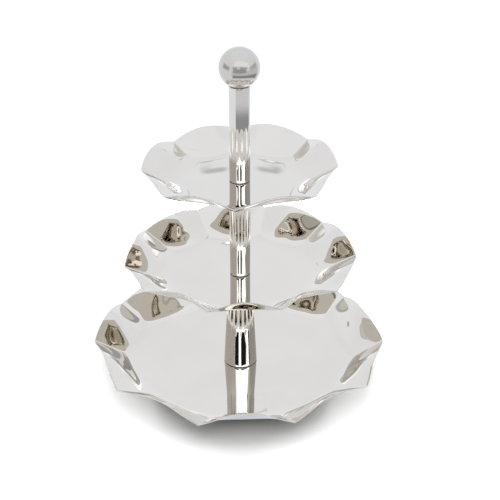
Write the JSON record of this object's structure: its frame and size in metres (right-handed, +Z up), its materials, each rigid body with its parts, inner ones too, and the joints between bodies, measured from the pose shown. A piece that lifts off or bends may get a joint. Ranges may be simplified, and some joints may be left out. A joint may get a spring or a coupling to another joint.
{
  "type": "tiered cake stand",
  "caption": "Free-standing tiered serving stand: ruffled round metal dishes of decreasing size on a screwed centre stem with a ball finial.",
  "frame": {"origin": "on the stem axis, at the surface that the foot pads rest on", "axes": "+Z up the stem, front of the stand towards -Y, +X to the right"},
  "size_m": [0.3295, 0.3222, 0.3787],
  "materials": {
    "polished_nickel": "mirror-polished nickel plate over hand-finished sheet",
    "plated_steel": "turned and plated",
    "gasket_rubber": "matt",
    "foot_rubber": "matt"
  },
  "bodies": {
    "base": {"bottom_dish": "polished_nickel", "foot_pads": "foot_rubber", "base_bolt": "plated_steel", "base_washer": "plated_steel", "bottom_dish_gasket": "gasket_rubber", "lower_stem_tube": "polished_nickel", "lower_stem_bottom_plug": "plated_steel", "lower_stem_top_plug": "plated_steel", "middle_stud": "plated_steel", "middle_dish_lower_gasket": "gasket_rubber"},
    "middle_tier": {"middle_dish": "polished_nickel"},
    "middle_lift": {"middle_dish_upper_gasket": "gasket_rubber"},
    "middle_stem": {"middle_stem_tube": "polished_nickel", "middle_stem_bottom_plug": "plated_steel", "middle_stem_top_plug": "plated_steel", "top_stud": "plated_steel", "top_dish_lower_gasket": "gasket_rubber"},
    "top_tier": {"top_dish": "polished_nickel"},
    "handle_lift": {"top_dish_upper_gasket": "gasket_rubber"},
    "handle": {"upper_stem_tube": "polished_nickel", "upper_stem_bottom_plug": "plated_steel", "upper_stem_top_plug": "plated_steel", "finial_stud": "plated_steel", "finial_gasket": "gasket_rubber", "finial_boss": "plated_steel", "ball_finial": "polished_nickel"}
  },
  "joints": [
    {"name": "middle_dish_turn", "type": "hinge", "parent": "base", "child": "middle_tier", "pos_m": [0, 0, 0.1166], "axis": [0, 0, 1], "continuous": true},
    {"name": "middle_stem_rise", "type": "slide", "parent": "base", "child": "middle_lift", "axis": [0, 0, 1], "range_m": [0, 0.0132]},
    {"name": "middle_stem_unscrew", "type": "hinge", "parent": "middle_lift", "child": "middle_stem", "pos_m": [0, 0, 0.1175], "axis": [0, 0, 1], "range_deg": [0, 3802]},
    {"name": "top_dish_turn", "type": "hinge", "parent": "middle_stem", "child": "top_tier", "pos_m": [0, 0, 0.2296], "axis": [0, 0, 1], "continuous": true},
    {"name": "handle_rise", "type": "slide", "parent": "middle_stem", "child": "handle_lift", "axis": [0, 0, 1], "range_m": [0, 0.0132]},
    {"name": "handle_unscrew", "type": "hinge", "parent": "handle_lift", "child": "handle", "pos_m": [0, 0, 0.2305], "axis": [0, 0, 1], "range_deg": [0, 3802]}
  ],
  "couplings": [
    {"joint": "middle_stem_unscrew", "follows": "middle_stem_rise", "rad_per_m": 5026.5},
    {"joint": "handle_unscrew", "follows": "handle_rise", "rad_per_m": 5026.5}
  ]
}
